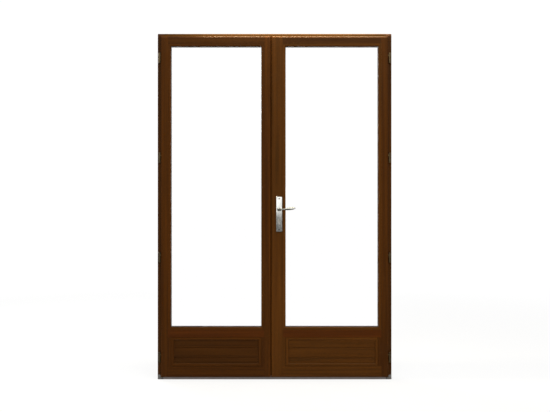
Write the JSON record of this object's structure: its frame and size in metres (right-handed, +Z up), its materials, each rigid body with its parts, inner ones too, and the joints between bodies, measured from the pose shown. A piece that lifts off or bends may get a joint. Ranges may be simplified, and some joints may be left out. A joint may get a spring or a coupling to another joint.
{
  "type": "french doors",
  "caption": "Pair of inward-opening glazed wooden doors in their frame, with low boarded panels, lever handle, rod lock and aluminium threshold.",
  "frame": {"origin": "on the floor, midway along the doorset, at mid-thickness of the closed leaves", "axes": "+X to the right as seen from the room, +Y to the outside, +Z up"},
  "size_m": [1.48, 0.16, 2.19],
  "materials": {
    "upright_timber": "satin varnish, grain upright",
    "level_timber": "satin varnish, grain along the width",
    "bead_timber": "satin varnish",
    "board_timber": "satin varnish, grain along the width",
    "glass": "clear float glass",
    "sill_metal": "anodised, brushed",
    "cap_plastic": "moulded grey",
    "seal_rubber": "matt black",
    "spacer_metal": "mill",
    "block_plastic": "moulded",
    "hinge_metal": "nickel plated",
    "handle_metal": "satin nickel",
    "lock_metal": "zinc plated",
    "cylinder_metal": "nickel plated"
  },
  "bodies": {
    "frame": {"left_jamb": "upright_timber", "right_jamb": "upright_timber", "head": "level_timber", "threshold": "sill_metal", "left_end_cap": "cap_plastic", "right_end_cap": "cap_plastic", "frame_seal": "seal_rubber", "left_frame_hinges": "hinge_metal", "right_frame_hinges": "hinge_metal", "head_keeper": "lock_metal", "threshold_keeper": "lock_metal"},
    "left_leaf": {"left_bottom_rail": "level_timber", "left_gaskets": "seal_rubber", "left_glass_beads": "bead_timber", "left_hinge_stile": "upright_timber", "left_inner_pane": "glass", "left_leaf_hinges": "hinge_metal", "left_lower_board": "board_timber", "left_meeting_stile": "upright_timber", "left_mid_rail": "level_timber", "left_middle_board": "board_timber", "left_outer_pane": "glass", "left_panel_beads": "bead_timber", "left_setting_blocks": "block_plastic", "left_spacer": "spacer_metal", "left_strike_plate": "lock_metal", "left_top_rail": "level_timber", "left_upper_board": "board_timber", "left_weatherboard": "level_timber"},
    "right_leaf": {"right_bottom_rail": "level_timber", "right_gaskets": "seal_rubber", "right_glass_beads": "bead_timber", "right_hinge_stile": "upright_timber", "right_inner_pane": "glass", "right_leaf_hinges": "hinge_metal", "right_lower_board": "board_timber", "right_meeting_stile": "upright_timber", "right_mid_rail": "level_timber", "right_middle_board": "board_timber", "right_outer_pane": "glass", "right_panel_beads": "bead_timber", "right_setting_blocks": "block_plastic", "right_spacer": "spacer_metal", "right_top_rail": "level_timber", "right_upper_board": "board_timber", "right_weatherboard": "level_timber", "inner_plate": "handle_metal", "outer_plate": "handle_metal", "plate_screws": "handle_metal", "lock_case": "lock_metal", "faceplate": "lock_metal", "cylinder_body": "cylinder_metal"},
    "handle": {"inner_lever": "handle_metal", "outer_lever": "handle_metal", "spindle": "lock_metal", "lock_hub": "lock_metal"},
    "top_rod": {"top_rod": "lock_metal"},
    "bottom_rod": {"bottom_rod": "lock_metal"},
    "plug": {"cylinder_plug": "cylinder_metal"},
    "bolt": {"deadbolt": "lock_metal"}
  },
  "joints": [
    {"name": "right_leaf_hinge", "type": "hinge", "parent": "frame", "child": "right_leaf", "pos_m": [0.7275, -0.016, 0.1], "axis": [0, 0, 1], "range_deg": [0, 100]},
    {"name": "left_leaf_hinge", "type": "hinge", "parent": "frame", "child": "left_leaf", "pos_m": [-0.7275, -0.016, 0.1], "axis": [0, 0, 1], "range_deg": [-106.13, 0]},
    {"name": "lever_turn", "type": "hinge", "parent": "right_leaf", "child": "handle", "pos_m": [0.0287, 0, 1.075], "axis": [0, -1, 0], "range_deg": [0, 45]},
    {"name": "top_rod_slide", "type": "slide", "parent": "right_leaf", "child": "top_rod", "axis": [0, 0, 1], "range_m": [0, 0.02]},
    {"name": "bottom_rod_slide", "type": "slide", "parent": "right_leaf", "child": "bottom_rod", "axis": [0, 0, -1], "range_m": [0, 0.02]},
    {"name": "key_turn", "type": "hinge", "parent": "right_leaf", "child": "plug", "pos_m": [0.0287, 0, 1.005], "axis": [0, -1, 0], "range_deg": [0, 360]},
    {"name": "deadbolt_slide", "type": "slide", "parent": "right_leaf", "child": "bolt", "axis": [-1, 0, 0], "range_m": [0, 0.02]}
  ],
  "couplings": [
    {"joint": "left_leaf_hinge", "follows": "right_leaf_hinge", "ratio": -1.0612},
    {"joint": "top_rod_slide", "follows": "lever_turn", "m_per_rad": 0.02546},
    {"joint": "bottom_rod_slide", "follows": "lever_turn", "m_per_rad": 0.02546},
    {"joint": "deadbolt_slide", "follows": "key_turn", "m_per_rad": 0.003183}
  ]
}
